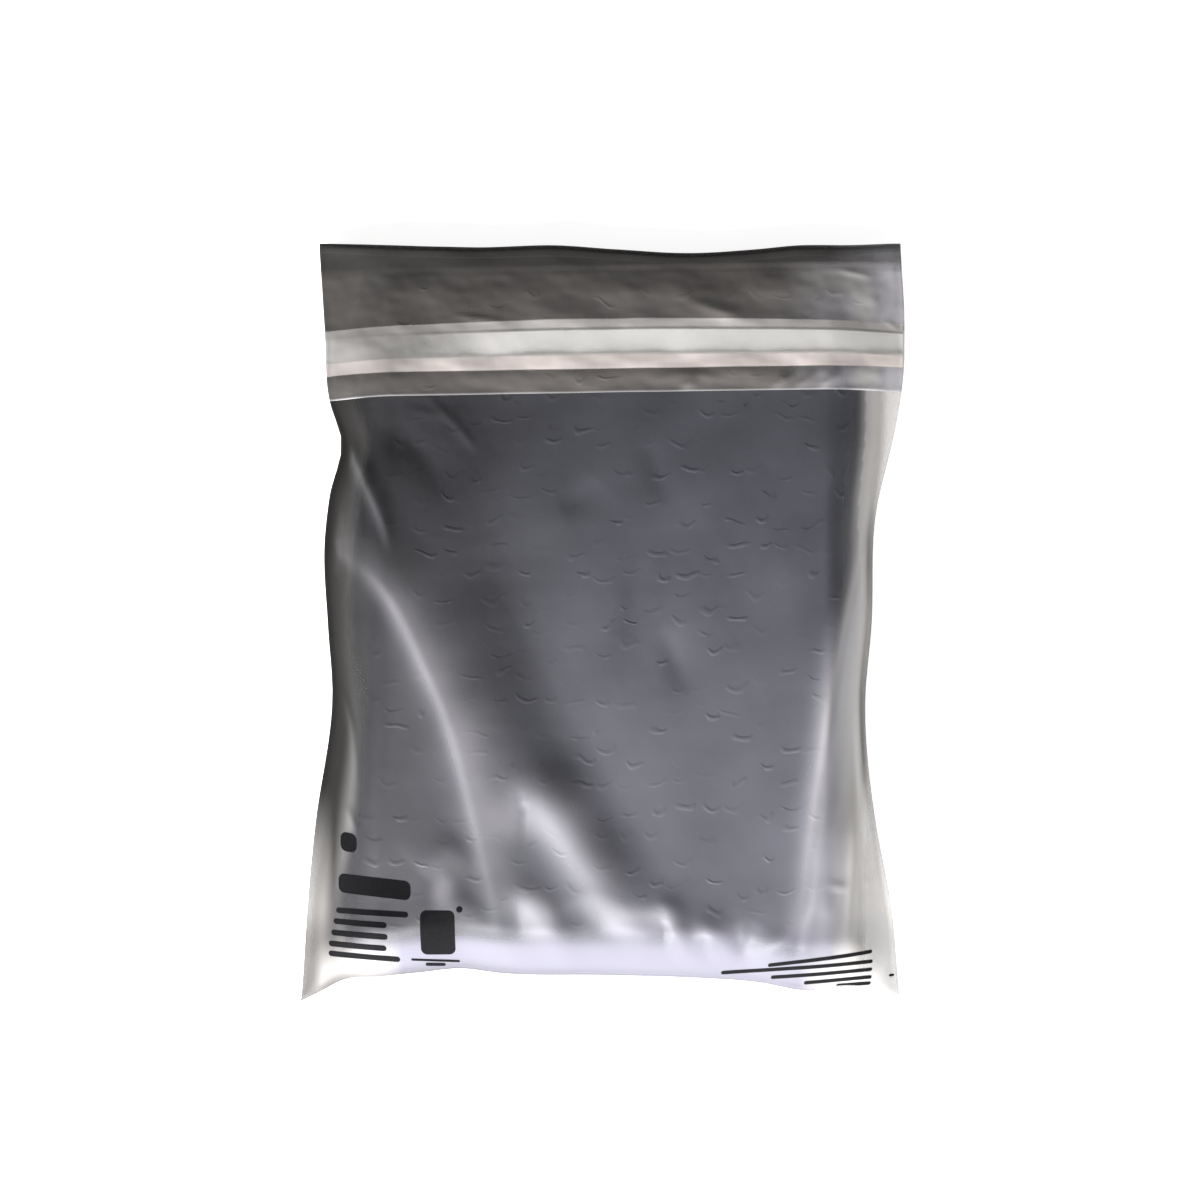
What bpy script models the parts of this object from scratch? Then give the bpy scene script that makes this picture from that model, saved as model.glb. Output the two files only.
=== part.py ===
"""Poly mailer bag, filled and lying on its back.

One folded sheet of frosted film makes the bag: a front panel and a back panel welded along both
sides and folded along the bottom. The back panel runs on past the open mouth, turns over it and
lies on the front panel as the flap. Under the flap are the adhesive strip and the release liner
that covers it. The goods inside are one soft wrapped pack.

The bag lies in the XY plane with the flap's fold towards +Y and its front towards +Z. The origin
is on the surface that it lies on, under the middle of the back panel.
"""

import bmesh
import bpy
import numpy as np

MM = 0.001

# The flat bag
BAG_WIDTH = 255.0 * MM
BAG_LENGTH = 325.0 * MM  # bottom fold to flap fold
FLAP_LENGTH = 65.0 * MM  # flap fold to the flap's cut edge, at the right-hand side
FLAP_SKEW = 4.0 * MM  # the flap's left corner hangs this much lower than its right one
MOUTH_SETBACK = 12.5 * MM  # the front panel's cut edge lies this far below the flap fold
MOUTH_SLOPE = 2.0 * MM  # and so much higher at its right end than in the middle
FILM_GAUGE = 0.3 * MM
SHEET_GAP = 0.35 * MM  # left free between one sheet and the next

# How the filled bag stands
BAG_THICKNESS = 40.0 * MM  # front to back at its fullest
CROWN = 0.05  # the front is this share of the thickness lower over the welds than in its middle
TOP_LEAN = 3.5 * MM  # the flap end lies this far to the right of the bottom end
FOLD_BULGE = 3.0 * MM  # how far the turned film stands out past the flat layers
WELD_SHARE = 0.42  # height of the side welds, as a share of the thickness there
EAR_HEIGHT = 1.6 * MM  # height of the loose bottom corners over the back
EAR_LENGTH = 0.22  # share of the bag's length over which the welds come down to the ears
EAR_FROM = 0.55  # share of the half width at which the bottom fold begins to come down to them
REST_MARGIN = 27.0 * MM  # the back turns up from the surface over this width

# The goods
BOTTOM_ROOM = 8.0 * MM  # from the bottom fold to the goods
TOP_ROOM = 17.0 * MM  # from the flap fold to the goods
GOODS_GAP = 0.9 * MM  # between the goods and the film over them
GOODS_SEAT = 0.7 * MM  # between the goods and the film that they lie on
GOODS_ROUNDING = 9.0 * MM
SHOULDER = 13.0 * MM  # the film turns down over this much of the goods' edge
FREE_SIDE = 22.5 * MM  # and over this much beside it, less where the goods draw the weld in
SHOULDER_POWER = 1.2  # above 1, the film leaves its weld less steeply

# The closure
LINER_WIDTH = 21.0 * MM
LINER_TO_EDGE = 10.5 * MM  # from the liner to the flap's cut edge
LINER_THICKNESS = 0.3 * MM
ADHESIVE_WIDTH = 12.0 * MM
ADHESIVE_THICKNESS = 0.4 * MM
FLAP_LANDING = 9.0 * MM  # below the liner the flap comes down on the front over this length

# How finely the sheets are divided
ACROSS = 36
ALONG = 40
FLAP_ROWS = 11
TURN_ROWS = 6
STRIP_ROWS = 3
GOODS_ACROSS = 22
GOODS_ALONG = 28
FILM_CROWDING = 0.28  # 0 spaces the columns evenly, 1 crowds them most at the sides
GOODS_CROWDING = 0.75

# Thickness along the bag, as (share of its length from the bottom, share of the full thickness)
THICKNESS_ALONG = [(0.0, 0.80), (0.12, 0.89), (0.27, 0.98), (0.40, 1.0), (0.53, 0.95),
                   (0.66, 0.80), (0.79, 0.56), (0.90, 0.35), (1.0, 0.17)]
# The full goods draw the welds in, as (share of the length, distance drawn in)
LEFT_DRAW = [(0.0, 0.0), (0.12, 2.6 * MM), (0.234, 6.1 * MM), (0.40, 12.3 * MM),
             (0.49, 9.9 * MM), (0.60, 7.8 * MM), (0.66, 9.5 * MM), (0.735, 14.0 * MM),
             (0.785, 8.8 * MM), (0.88, 5.9 * MM), (1.0, 2.6 * MM)]
RIGHT_DRAW = [(0.0, 0.0), (0.12, 4.4 * MM), (0.234, 11.9 * MM), (0.39, 16.6 * MM),
              (0.49, 14.1 * MM), (0.64, 12.2 * MM), (0.745, 4.3 * MM), (0.80, 1.2 * MM),
              (0.90, 0.0), (1.0, 1.8 * MM)]
# and lift the bottom fold between its corners, as (share of the half width, lift)
BOTTOM_LIFT = [(-1.0, 0.0), (-0.94, 4.0 * MM), (-0.87, 8.8 * MM), (-0.74, 10.6 * MM),
               (-0.60, 12.6 * MM), (-0.47, 14.2 * MM), (-0.33, 12.2 * MM), (0.0, 11.4 * MM),
               (0.33, 10.2 * MM), (0.53, 8.3 * MM), (0.67, 5.0 * MM), (0.87, 5.2 * MM),
               (1.0, 0.0)]
# The slack flap fold dips between its ends, as (share of the half width, dip)
TOP_DIP = [(-1.0, 0.0), (-0.73, 1.3 * MM), (-0.45, 2.1 * MM), (-0.18, 1.3 * MM),
           (0.03, 3.0 * MM), (0.26, 4.6 * MM), (0.5, 3.0 * MM), (0.64, 1.3 * MM),
           (0.84, 0.9 * MM), (1.0, 0.0)]
# Width that the goods leave free inside each weld, as (share of the length, width)
LEFT_GAP = [(0.0, 13.0 * MM), (0.13, 12.0 * MM), (0.24, 14.0 * MM), (0.33, 11.0 * MM),
            (0.41, 6.0 * MM), (0.53, 6.0 * MM), (0.6, 8.0 * MM), (0.72, 7.0 * MM),
            (0.82, 9.0 * MM), (0.9, 20.0 * MM), (1.0, 25.0 * MM)]
RIGHT_GAP = [(0.0, 24.0 * MM), (0.1, 21.0 * MM), (0.2, 16.0 * MM), (0.3, 9.0 * MM),
             (0.41, 6.0 * MM), (0.57, 6.0 * MM), (0.69, 10.0 * MM), (0.79, 15.0 * MM),
             (1.0, 19.6 * MM)]

EDGE = 1e-6  # shares this near an end are on it
MERGED = 0.01 * MM  # points this near each other are made one
HALF_WIDTH = BAG_WIDTH / 2
BOTTOM_Y = -BAG_LENGTH / 2
FOLD_Y = BAG_LENGTH / 2
# Between the flap and the front panel lie the two strips, with a gap beside each
STRIP_STACK = LINER_THICKNESS + ADHESIVE_THICKNESS + 2 * SHEET_GAP


def through(points, at):
    """The smooth curve through (place, value) points: cubics whose slopes match at each point."""
    place, value = np.array(points, float).T
    slope = np.gradient(value, place)
    at = np.clip(at, place[0], place[-1])
    i = np.clip(np.searchsorted(place, at, side="right") - 1, 0, len(place) - 2)
    step = place[i + 1] - place[i]
    u = (at - place[i]) / step
    start = (1 + 2 * u) * (1 - u) ** 2 * value[i] + u * (1 - u) ** 2 * step * slope[i]
    end = u * u * (3 - 2 * u) * value[i + 1] + u * u * (u - 1) * step * slope[i + 1]
    return start + end


def ease(u):
    """0 up to u = 0 and 1 from u = 1, with a smooth S between."""
    u = np.clip(u, 0, 1)
    return u * u * (3 - 2 * u)


def shoulder(u):
    """Rises like a film pulled over a rounded shoulder: steep from 0, level at 1."""
    return np.sin(np.pi / 2 * np.clip(u, 0, 1)) ** SHOULDER_POWER


def length_share(y):
    return np.clip((y - BOTTOM_Y) / BAG_LENGTH, 0, 1)


def middle(y):
    """The bag's middle line, which leans to the right towards the flap."""
    return TOP_LEAN * (length_share(y) - 0.5)


def weld_reach(s, y):
    """Distance from the middle line to the weld on the side that s points to."""
    v = length_share(y)
    return HALF_WIDTH - np.where(s < 0, through(LEFT_DRAW, v), through(RIGHT_DRAW, v))


def across_share(x, y):
    """-1 on the left weld, 0 on the middle line and 1 on the right weld."""
    off = x - middle(y)
    return np.clip(off / weld_reach(off, y), -1, 1)


def bottom_edge(s):
    return BOTTOM_Y + through(BOTTOM_LIFT, s)


def thickness(y):
    return BAG_THICKNESS * through(THICKNESS_ALONG, length_share(y))


def seam_height(s, y):
    """Height at which the front and back films meet: the welds' height, falling to the ears."""
    near_bottom = 1 - ease((y - bottom_edge(s)) / (EAR_LENGTH * BAG_LENGTH))
    ear = near_bottom * ease((np.abs(s) - EAR_FROM) / (1 - EAR_FROM))
    return EAR_HEIGHT * ear + WELD_SHARE * thickness(y) * (1 - ear)


# The film's main folds on the front: (points, height, half width, width of the left-hand flank).
# A point is (share of the half width, share of the length). Heights and widths are shares of the
# two lengths below, and the left-hand flank's is a share of the other flank's.
FOLD_HEIGHT = 6.5 * MM
FOLD_WIDTH = 7.5 * MM
FOLDS = {
    "left_diagonal": ([(-0.884, 0.574), (-0.840, 0.580), (-0.767, 0.558), (-0.677, 0.514),
                       (-0.589, 0.444), (-0.497, 0.358), (-0.422, 0.248), (-0.353, 0.137),
                       (-0.330, 0.085)], 1.0, 1.15, 2.6),
    "left_pocket": ([(-0.864, 0.726), (-0.811, 0.689), (-0.732, 0.616), (-0.698, 0.564)],
                    0.6, 0.55, 1.4),
    "right_long": ([(0.895, 0.643), (0.854, 0.586), (0.803, 0.512), (0.756, 0.427),
                    (0.719, 0.345), (0.676, 0.226), (0.645, 0.116), (0.620, 0.073)],
                   0.8, 1.2, 0.65),
    "right_edge": ([(0.862, 0.572), (0.847, 0.403), (0.830, 0.248), (0.810, 0.118),
                    (0.800, 0.066)], 0.45, 0.6, 1.0),
    "middle_lobe": ([(-0.330, 0.251), (-0.277, 0.275), (-0.214, 0.265), (-0.150, 0.233),
                     (-0.080, 0.189), (-0.009, 0.147), (0.054, 0.109), (0.138, 0.069)],
                    0.9, 1.8, 1.3),
    "lower_lobe": ([(-0.346, 0.115), (-0.313, 0.131), (-0.270, 0.138), (-0.210, 0.118),
                    (-0.154, 0.084), (-0.117, 0.049)], 0.6, 1.3, 1.1),
    "patch_lobe": ([(-0.151, 0.112), (-0.072, 0.139), (0.034, 0.126), (0.156, 0.073)],
                   0.5, 1.3, 0.8),
    "left_lobe": ([(-0.604, 0.167), (-0.562, 0.183), (-0.503, 0.193), (-0.436, 0.181),
                   (-0.376, 0.157)], 0.35, 1.3, 1.0),
    "bottom_spike": ([(0.178, 0.092), (0.194, 0.121), (0.221, 0.102), (0.262, 0.073),
                      (0.309, 0.050)], 0.45, 1.0, 1.0),
    "right_low": ([(0.655, 0.125), (0.610, 0.092), (0.544, 0.066), (0.479, 0.043)],
                  0.5, 0.8, 1.4),
}
# Hollows in which the film sinks with the goods: (points, depth, half width), likewise shares
HOLLOWS = {
    "beside_diagonal": ([(-0.379, 0.598), (-0.247, 0.468), (-0.131, 0.339), (0.050, 0.222),
                         (0.249, 0.131)], 0.5, 2.8),
    "top_hollow": ([(-0.750, 0.747), (-0.616, 0.715), (-0.515, 0.650)], 0.28, 1.2),
}
FOLD_POINTS = 40  # points at which a fold's line is measured
FOLD_FADE = 7.0 * MM  # a fold dies out over this distance from a weld
FLANK_BLEND = 0.3  # share of the half width over which one flank's width turns into the other's
FOLD_END = 0.06  # a fold's line begins and ends this share short of where its height would be 0
CROSSING_POWER = 3.0  # where folds cross, the power of the mean that keeps the higher crest
SEAM_PARTING = 6.0  # the front leaves the weld by SHEET_GAP within 1 / this share of its rise


def beside_line(x, y, points):
    """For the smooth line through a fold's points: the distance to it, how far along it the
    nearest place is (0 to 1), and that distance with the sign of the side."""
    marks = np.linspace(0, 1, len(points))
    along = np.linspace(0, 1, FOLD_POINTS)
    across, up = np.array(points).T
    line_x = through(np.column_stack([marks, across]), along) * HALF_WIDTH
    line_y = through(np.column_stack([marks, up]), along) * BAG_LENGTH + BOTTOM_Y
    nearest = np.full(x.shape, np.inf)
    place, side = np.zeros(x.shape), np.zeros(x.shape)
    for k in range(FOLD_POINTS - 1):
        run_x, run_y = line_x[k + 1] - line_x[k], line_y[k + 1] - line_y[k]
        length = np.hypot(run_x, run_y)
        off_x, off_y = x - line_x[k], y - line_y[k]
        u = np.clip((off_x * run_x + off_y * run_y) / length ** 2, 0, 1)
        apart = np.hypot(off_x - u * run_x, off_y - u * run_y)
        nearer = apart < nearest
        nearest = np.where(nearer, apart, nearest)
        place = np.where(nearer, (k + u) / (FOLD_POINTS - 1), place)
        side = np.where(nearer, (off_x * run_y - off_y * run_x) / length, side)
    return nearest, place, side


def fold_height(x, y, points, height, half_width, left_flank=1.0):
    """A ridge along a fold's line: its height over (1 + (distance / half width) squared) to the
    power 1.5, tapered to both ends of the line."""
    apart, place, side = beside_line(x, y, points)
    turned = np.tanh(side / (FLANK_BLEND * half_width * FOLD_WIDTH))
    width = half_width * FOLD_WIDTH * (1 + (left_flank - 1) * (1 - turned) / 2)
    taper = np.sin(np.pi * (FOLD_END + (1 - 2 * FOLD_END) * place))
    return height * FOLD_HEIGHT * taper / (1 + (apart / width) ** 2) ** 1.5


def edge_fade(x, y):
    """0 on the welds and on the bottom fold, and 1 from FOLD_FADE inside them."""
    off = x - middle(y)
    beside_weld = ease((weld_reach(off, y) - np.abs(off)) / FOLD_FADE)
    return beside_weld * ease((y - bottom_edge(across_share(x, y))) / FOLD_FADE)


def folds(x, y):
    total = sum(fold_height(x, y, *fold) ** CROSSING_POWER for fold in FOLDS.values())
    return edge_fade(x, y) * total ** (1 / CROSSING_POWER)


def hollows(x, y):
    return edge_fade(x, y) * sum(fold_height(x, y, *hollow) for hollow in HOLLOWS.values())


def room_share(x, y):
    """How far up the film has come from its welds and bottom fold, from 0 there to 1."""
    off = x - middle(y)
    reach = weld_reach(off, y)
    level_at = np.minimum(HALF_WIDTH - FREE_SIDE, reach) - SHOULDER
    sides = shoulder((reach - np.abs(off)) / (reach - level_at))
    ends = shoulder((y - bottom_edge(across_share(x, y))) / (BOTTOM_ROOM + SHOULDER))
    return sides * ends


def smooth_front(x, y):
    """The front film without its folds, under which the goods lie."""
    s = across_share(x, y)
    seam = seam_height(s, y)
    crowned = thickness(y) * (1 - CROWN * s * s)
    return seam + (crowned - seam) * room_share(x, y) - hollows(x, y)


def front_height(x, y):
    """The inner face of the front film over any point, folds included."""
    parting = SHEET_GAP * ease(room_share(x, y) * SEAM_PARTING)
    return smooth_front(x, y) + parting + folds(x, y)


def back_height(x, y):
    """The inner face of the back film: flat on the surface, turned up to the welds and fold."""
    s = across_share(x, y)
    off = x - middle(y)
    inward = np.minimum(weld_reach(off, y) - np.abs(off), y - bottom_edge(s))
    return FILM_GAUGE + seam_height(s, y) * (1 - ease(inward / REST_MARGIN))


def mouth_edge(s):
    return FOLD_Y - MOUTH_SETBACK + MOUTH_SLOPE * s


def fold_edge(s):
    """The line at which the back begins to turn over into the flap."""
    return FOLD_Y - FOLD_BULGE - through(TOP_DIP, s)


def flap_edge(s):
    return FOLD_Y - FLAP_LENGTH + FLAP_SKEW * (s - 1) / 2


def front_place(s, t):
    """A point of the front panel: s across it, t from the bottom fold to the mouth."""
    s = crowd(s, FILM_CROWDING)
    low = bottom_edge(s)
    y = low + t * (mouth_edge(s) - low)
    x = beside(s, y)
    height = np.where(on_panel(s, t), front_height(x, y), seam_height(s, y))
    return x, y, height + np.where(t > 1 - EDGE, SHEET_GAP, 0)


def on_panel(s, t):
    """False on the welds and the bottom fold, where front and back are one."""
    return (np.abs(s) < 1 - EDGE) & (t > EDGE)


def back_place(s, t):
    """A point of the back panel: the rows up to the mouth match the front's."""
    s = crowd(s, FILM_CROWDING)
    low = bottom_edge(s)
    y = low + t * (mouth_edge(s) - low)
    x = beside(s, y)
    return x, y, np.where(on_panel(s, t), back_height(x, y), seam_height(s, y))


def beside(s, y):
    """Where the share s of the half width lies at the height y of the bag."""
    return middle(y) + s * weld_reach(s, y)


def flap_height(x, y):
    """The flap's inner face: over the strips on the front, and down on the front below them."""
    s = across_share(x, y)
    front = front_height(x, np.minimum(y, mouth_edge(s)))
    return front + FILM_GAUGE + SHEET_GAP + STRIP_STACK * ease((y - flap_edge(s)) / FLAP_LANDING)


def flap_place(s, t):
    """A point of the flap: t runs over three stretches, of the back film from the mouth to the
    turn, of the turn itself and of the flap down to its cut edge."""
    s = crowd(s, FILM_CROWDING)
    total = 1 + TURN_ROWS + FLAP_ROWS
    rise = np.clip(t * total, 0, 1)
    turn = np.clip((t * total - 1) / TURN_ROWS, 0, 1) * np.pi - np.pi / 2
    down = np.clip((t * total - 1 - TURN_ROWS) / FLAP_ROWS, 0, 1)
    start, root, end = mouth_edge(s), fold_edge(s), flap_edge(s)
    y = np.where(down > 0, root + down * (end - root), start + rise * (root - start))
    x = beside(s, y)
    low = np.where(on_panel(s, 1), back_height(x, y), seam_height(s, y))
    high = flap_height(x, y)
    turning = (rise >= 1) & (down <= 0)
    y = y + np.where(turning, FOLD_BULGE * np.cos(turn), 0)
    centre, reach = (low + high) / 2, (high - low) / 2
    z = np.where(rise < 1, low, centre + reach * np.sin(turn))
    return x, y, np.where(down > 0, high, z)


def goods_rim(s, y):
    """Where the goods end: left, right, bottom and top."""
    v = length_share(y)
    left = middle(y) - weld_reach(-1, y) + through(LEFT_GAP, v)
    right = middle(y) + weld_reach(1, y) - through(RIGHT_GAP, v)
    return left, right, bottom_edge(s) + BOTTOM_ROOM, FOLD_Y - TOP_ROOM


def goods_place(s, t, top):
    """A point on the goods' upper or lower face, which meet on a rounded rim: a quarter circle
    from each edge inwards, as a share of the room between the films."""
    s = crowd(s, GOODS_CROWDING)
    t = (crowd(2 * t - 1, GOODS_CROWDING) + 1) / 2
    low, high = goods_rim(s, BOTTOM_Y)[2:]
    y = low + t * (high - low)
    left, right = goods_rim(s, y)[:2]
    x = (left + right + s * (right - left)) / 2
    full = 1.0
    for inward in (x - left, right - x, y - low, high - y):
        full = full * np.sqrt(1 - (1 - np.clip(inward / GOODS_ROUNDING, 0, 1)) ** 2)
    ceiling = smooth_front(x, y) - GOODS_GAP
    floor = back_height(x, y) + GOODS_SEAT
    half = (ceiling - floor) / 2 * full
    return x, y, (ceiling + floor) / 2 + (half if top else -half)


def add_panel(bm, columns, rows, place, flipped=False):
    """A grid of the given divisions, moved to where place(s, t) says. The cell at each corner is
    split from its corner, so that two sheets welded along both sides of it still part there."""
    made = bmesh.ops.create_grid(bm, x_segments=columns, y_segments=rows, size=1.0)["verts"]
    flat = np.array([v.co for v in made])
    s, t = flat[:, 0], (flat[:, 1] + 1) / 2
    for vert, spot in zip(made, np.column_stack(place(s, t))):
        vert.co = spot
    faces = {face for vert in made for face in vert.link_faces}
    if flipped:
        bmesh.ops.reverse_faces(bm, faces=list(faces))
    corners = [vert.link_faces[0] for vert in made if len(vert.link_faces) == 1]
    bmesh.ops.triangulate(bm, faces=corners, quad_method="LONG_EDGE")


def crowd(s, share):
    """Moves the divisions of -1 to 1 towards both ends, where the form bends most."""
    return (1 - share) * s + share * np.sin(np.pi / 2 * s)


def add_object(bm, name, material):
    bmesh.ops.remove_doubles(bm, verts=bm.verts, dist=MERGED)
    bmesh.ops.triangulate(bm, faces=bm.faces, quad_method="SHORT_EDGE")
    mesh = bpy.data.meshes.new(name)
    bm.to_mesh(mesh)
    bm.free()
    mesh.shade_smooth()
    mesh.materials.append(material)
    obj = bpy.data.objects.new(name, mesh)
    parts.objects.link(obj)
    return obj


def add_wall(obj, thick):
    wall = obj.modifiers.new("wall", "SOLIDIFY")
    wall.thickness = thick
    wall.offset = 1.0
    return obj


def finish_of(name, colour, roughness):
    """A plain Principled material."""
    material = bpy.data.materials.new(name)
    material.use_nodes = True
    shader = material.node_tree.nodes["Principled BSDF"]
    shader.inputs["Base Color"].default_value = (*colour, 1.0)
    shader.inputs["Roughness"].default_value = roughness
    shader.inputs["Metallic"].default_value = 0.0
    return material


def film_bag():
    """The folded and welded film: front, back, and the flap turned over the mouth."""
    bm = bmesh.new()
    add_panel(bm, ACROSS, ALONG, front_place)
    add_panel(bm, ACROSS, ALONG, back_place, flipped=True)
    add_panel(bm, ACROSS, 1 + TURN_ROWS + FLAP_ROWS, flap_place, flipped=True)
    obj = add_object(bm, "film_bag", finish_of("frosted_film", (0.62, 0.61, 0.60), 0.4))
    return add_wall(obj, FILM_GAUGE)


def wrapped_goods():
    bm = bmesh.new()
    add_panel(bm, GOODS_ACROSS, GOODS_ALONG, lambda s, t: goods_place(s, t, True))
    add_panel(bm, GOODS_ACROSS, GOODS_ALONG, lambda s, t: goods_place(s, t, False), flipped=True)
    return add_object(bm, "wrapped_goods", finish_of("dark_wrap", (0.03, 0.03, 0.035), 0.6))


def strip_place(width, to_edge, lift):
    """Where the points of a strip under the flap lie, lift over the front panel's outer face."""
    def place(s, t):
        s = crowd(s, FILM_CROWDING)
        y = flap_edge(s) + to_edge + t * width
        x = beside(s, y)
        return x, y, front_height(x, y) + FILM_GAUGE + lift
    return place


def release_liner():
    bm = bmesh.new()
    add_panel(bm, ACROSS, STRIP_ROWS, strip_place(LINER_WIDTH, LINER_TO_EDGE, SHEET_GAP))
    obj = add_object(bm, "release_liner", finish_of("liner_paper", (0.85, 0.84, 0.82), 0.55))
    return add_wall(obj, LINER_THICKNESS)


def adhesive_strip():
    bm = bmesh.new()
    to_edge = LINER_TO_EDGE + (LINER_WIDTH - ADHESIVE_WIDTH) / 2
    lift = 2 * SHEET_GAP + LINER_THICKNESS
    add_panel(bm, ACROSS, STRIP_ROWS, strip_place(ADHESIVE_WIDTH, to_edge, lift))
    obj = add_object(bm, "adhesive_strip", finish_of("hot_melt", (0.80, 0.79, 0.76), 0.35))
    return add_wall(obj, ADHESIVE_THICKNESS)


for old in list(bpy.data.objects):
    bpy.data.objects.remove(old)
parts = bpy.data.collections.new("poly_mailer_bag")
bpy.context.scene.collection.children.link(parts)
film_bag()
wrapped_goods()
release_liner()
adhesive_strip()
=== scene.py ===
"""The looks of a filled poly mailer bag: frosted film over dark goods in bubble wrap, with the
flap turned down over the front on an adhesive strip that still has its release liner.
Lengths are in metres. +Y runs from the bottom fold to the flap fold and +Z up from the back."""

import bpy
import numpy as np
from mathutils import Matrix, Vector


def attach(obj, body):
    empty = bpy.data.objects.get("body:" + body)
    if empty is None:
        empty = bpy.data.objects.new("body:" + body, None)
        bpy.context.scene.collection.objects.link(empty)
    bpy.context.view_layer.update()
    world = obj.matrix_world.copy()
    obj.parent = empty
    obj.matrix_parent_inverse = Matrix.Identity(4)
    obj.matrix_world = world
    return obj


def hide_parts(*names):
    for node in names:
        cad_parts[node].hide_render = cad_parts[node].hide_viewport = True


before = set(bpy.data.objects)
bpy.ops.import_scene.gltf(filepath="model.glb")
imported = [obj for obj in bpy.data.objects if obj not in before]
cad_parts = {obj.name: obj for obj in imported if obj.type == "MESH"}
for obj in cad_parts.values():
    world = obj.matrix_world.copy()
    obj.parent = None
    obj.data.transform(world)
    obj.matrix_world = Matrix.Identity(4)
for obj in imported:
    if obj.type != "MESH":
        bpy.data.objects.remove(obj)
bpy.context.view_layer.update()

MM = 0.001


# Film bag: one long web of frosted compostable film, blown and folded once at the bottom. Both
# sides are welded and cut by a hot knife, so front and back end in one narrow fused lip. The back
# runs on over the mouth and comes down on the front as the flap.

BAG_WIDTH = 255.0 * MM
BAG_LENGTH = 325.0 * MM
FLAP_LENGTH = 65.0 * MM
FLAP_SKEW = 4.0 * MM  # the flap's cut edge lies this much lower on the left
MOUTH_SETBACK = 12.5 * MM  # from the flap fold down to the mouth
MOUTH_SLOPE = 2.0 * MM
FILM_GAUGE = 0.14 * MM
CAD_GAUGE = 0.3 * MM  # the solids' film, on whose outer face this one lies
SHEET_GAP = 0.35 * MM
STRIP_STACK = 1.4 * MM  # liner, adhesive and the gaps beside them, between flap and front
BAG_THICKNESS = 40.0 * MM
CROWN = 0.05  # the share of the thickness by which the front falls from its middle to the welds
TOP_LEAN = 3.5 * MM  # how far the flap fold's middle lies to the right of the bottom fold's
FOLD_BULGE = 3.0 * MM  # how far the film stands out where it turns over at the flap fold
WELD_SHARE = 0.42  # the welds' height, as a share of the thickness
WELD_LIP = 2.2 * MM
EAR_HEIGHT = 1.6 * MM
EAR_LENGTH = 0.22  # the bottom corners lie low over this share of the length
EAR_FROM = 0.55  # and from this share of the half width
FLAP_LANDING = 9.0 * MM  # below the liner the flap comes down on the front over this length
REST_MARGIN = 27.0 * MM  # the back is turned up over this width along its edges
BACK_SUNK = 0.02 * MM
BOTTOM_ROOM = 8.0 * MM  # what the goods leave free at the bottom fold
TOP_ROOM = 17.0 * MM  # and at the flap fold
GOODS_GAP = 0.9 * MM  # from the goods up to the front film
GOODS_SEAT = 0.7 * MM  # and down to the back film
GOODS_ROUNDING = 9.0 * MM
SHOULDER = 13.0 * MM  # the width over which the film rises beside the goods
FREE_SIDE = 22.5 * MM  # the margins, where the welds aren't drawn in
SHOULDER_POWER = 1.2

# What changes along or across the bag, as (share of the length or of the half width, value).
THICKNESS_ALONG = [(0.0, 0.80), (0.12, 0.89), (0.27, 0.98), (0.40, 1.0), (0.53, 0.95),
                   (0.66, 0.80), (0.79, 0.56), (0.90, 0.35), (1.0, 0.17)]
LEFT_DRAW = [(0.0, 0.0), (0.12, 2.6 * MM), (0.234, 6.1 * MM), (0.40, 12.3 * MM),
             (0.49, 9.9 * MM), (0.60, 7.8 * MM), (0.66, 9.5 * MM), (0.735, 14.0 * MM),
             (0.785, 8.8 * MM), (0.88, 5.9 * MM), (1.0, 2.6 * MM)]
RIGHT_DRAW = [(0.0, 0.0), (0.12, 4.4 * MM), (0.234, 11.9 * MM), (0.39, 16.6 * MM),
              (0.49, 14.1 * MM), (0.64, 12.2 * MM), (0.745, 4.3 * MM), (0.80, 1.2 * MM),
              (0.90, 0.0), (1.0, 1.8 * MM)]
# What the goods leave free inside the welds.
LEFT_GAP = [(0.0, 13.0 * MM), (0.13, 12.0 * MM), (0.24, 14.0 * MM), (0.33, 11.0 * MM),
            (0.41, 6.0 * MM), (0.53, 6.0 * MM), (0.6, 8.0 * MM), (0.72, 7.0 * MM),
            (0.82, 9.0 * MM), (0.9, 20.0 * MM), (1.0, 25.0 * MM)]
RIGHT_GAP = [(0.0, 24.0 * MM), (0.1, 21.0 * MM), (0.2, 16.0 * MM), (0.3, 9.0 * MM),
             (0.41, 6.0 * MM), (0.57, 6.0 * MM), (0.69, 10.0 * MM), (0.79, 15.0 * MM),
             (1.0, 19.6 * MM)]
BOTTOM_LIFT = [(-1.0, 0.0), (-0.94, 4.0 * MM), (-0.87, 8.8 * MM), (-0.74, 10.6 * MM),
               (-0.60, 12.6 * MM), (-0.47, 14.2 * MM), (-0.33, 12.2 * MM), (0.0, 11.4 * MM),
               (0.33, 10.2 * MM), (0.53, 8.3 * MM), (0.67, 5.0 * MM), (0.87, 5.2 * MM),
               (1.0, 0.0)]
TOP_DIP = [(-1.0, 0.0), (-0.73, 1.3 * MM), (-0.45, 2.1 * MM), (-0.18, 1.3 * MM),
           (0.03, 3.0 * MM), (0.26, 4.6 * MM), (0.5, 3.0 * MM), (0.64, 1.3 * MM),
           (0.84, 0.9 * MM), (1.0, 0.0)]

HALF_WIDTH = BAG_WIDTH / 2
BOTTOM_Y = -BAG_LENGTH / 2
FOLD_Y = BAG_LENGTH / 2

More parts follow.
